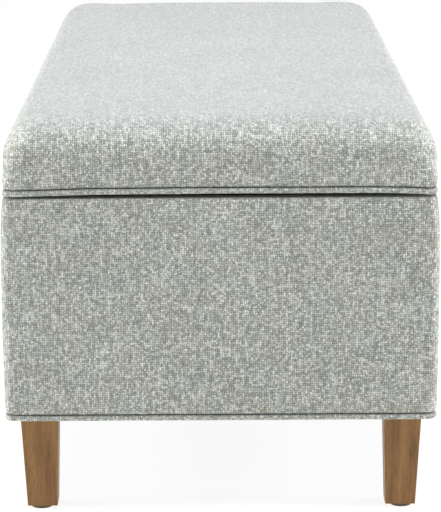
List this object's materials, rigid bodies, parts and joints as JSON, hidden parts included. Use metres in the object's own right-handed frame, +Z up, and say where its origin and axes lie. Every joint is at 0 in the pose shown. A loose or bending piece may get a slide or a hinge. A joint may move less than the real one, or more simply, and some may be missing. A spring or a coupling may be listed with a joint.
{
  "type": "storage ottoman",
  "caption": "Long upholstered storage bench with a thick padded lid on rear hinges, folding stays, piped edges and tapered wooden legs.",
  "frame": {"origin": "on the floor under the middle of the object's bounding box", "axes": "+X along the bench, -Y towards the front, +Y towards the hinge side, +Z up"},
  "size_m": [1.14, 0.465, 0.422],
  "materials": {
    "upholstery": "grey-sage slubbed linen weave",
    "lining": "plain dark grey cotton twill",
    "dust_cloth": "black non-woven cloth",
    "foam": "open-cell upholstery foam",
    "wadding": "polyester wadding",
    "leg_wood": "mid-brown stained, straight grain, satin",
    "plywood": "raw plywood",
    "softwood": "raw planed softwood",
    "zinc_steel": "zinc-plated steel",
    "hinge_steel": "zinc-plated pressed steel",
    "rubber": "black rubber",
    "glide_plastic": "dark nylon"
  },
  "bodies": {
    "base": {"back_cleat": "softwood", "back_left_leg": "leg_wood", "back_pad": "foam", "back_panel": "plywood", "back_right_leg": "leg_wood", "base_cover": "upholstery", "base_hinge_screws": "zinc_steel", "base_piping": "upholstery", "block_screws": "zinc_steel", "centre_rail": "softwood", "corner_blocks": "softwood", "dust_cover": "dust_cloth", "floor_lining": "lining", "floor_panel": "plywood", "frame_screws": "zinc_steel", "front_cleat": "softwood", "front_left_leg": "leg_wood", "front_pad": "foam", "front_panel": "plywood", "front_right_leg": "leg_wood", "left_hinge_base_leaf": "hinge_steel", "left_hinge_pin": "hinge_steel", "left_pad": "foam", "left_panel": "plywood", "left_stay_base_bracket": "hinge_steel", "leg_bolts": "zinc_steel", "leg_glides": "glide_plastic", "leg_nuts": "zinc_steel", "middle_hinge_base_leaf": "hinge_steel", "middle_hinge_pin": "hinge_steel", "right_hinge_base_leaf": "hinge_steel", "right_hinge_pin": "hinge_steel", "right_pad": "foam", "right_panel": "plywood", "right_stay_base_bracket": "hinge_steel", "stay_base_pins": "hinge_steel", "stay_bracket_screws": "zinc_steel", "wall_lining": "lining"},
    "lid": {"left_hinge_lid_leaf": "hinge_steel", "left_stay_lid_bracket": "hinge_steel", "lid_board": "plywood", "lid_bumpers": "rubber", "lid_cover": "upholstery", "lid_foam": "foam", "lid_hinge_screws": "zinc_steel", "lid_lining": "lining", "lid_piping": "upholstery", "lid_wadding": "wadding", "middle_hinge_lid_leaf": "hinge_steel", "right_hinge_lid_leaf": "hinge_steel", "right_stay_lid_bracket": "hinge_steel", "stay_flange_screws": "zinc_steel", "stay_lid_pins": "hinge_steel"},
    "left_lower_arm": {"left_stay_knee_rivet": "hinge_steel", "left_stay_lower_arm": "hinge_steel"},
    "left_upper_arm": {"left_stay_upper_arm": "hinge_steel"},
    "right_lower_arm": {"right_stay_knee_rivet": "hinge_steel", "right_stay_lower_arm": "hinge_steel"},
    "right_upper_arm": {"right_stay_upper_arm": "hinge_steel"}
  },
  "joints": [
    {"name": "lid_hinge", "type": "hinge", "parent": "base", "child": "lid", "pos_m": [0, 0.229, 0.344], "axis": [-1, 0, 0], "range_deg": [0, 88]},
    {"name": "left_stay_base_pivot", "type": "hinge", "parent": "base", "child": "left_lower_arm", "pos_m": [-0.54105, 0.169, 0.24], "axis": [-1, 0, 0], "range_deg": [0, 88]},
    {"name": "left_stay_knee", "type": "hinge", "parent": "left_lower_arm", "child": "left_upper_arm", "pos_m": [-0.53955, 0.019, 0.228], "axis": [-1, 0, 0], "range_deg": [-88, 0]},
    {"name": "right_stay_base_pivot", "type": "hinge", "parent": "base", "child": "right_lower_arm", "pos_m": [0.54105, 0.169, 0.24], "axis": [-1, 0, 0], "range_deg": [0, 88]},
    {"name": "right_stay_knee", "type": "hinge", "parent": "right_lower_arm", "child": "right_upper_arm", "pos_m": [0.53955, 0.019, 0.228], "axis": [-1, 0, 0], "range_deg": [-88, 0]}
  ],
  "couplings": [
    {"joint": "left_stay_base_pivot", "follows": "lid_hinge", "ratio": 1},
    {"joint": "left_stay_knee", "follows": "lid_hinge", "ratio": -1},
    {"joint": "right_stay_base_pivot", "follows": "lid_hinge", "ratio": 1},
    {"joint": "right_stay_knee", "follows": "lid_hinge", "ratio": -1}
  ]
}
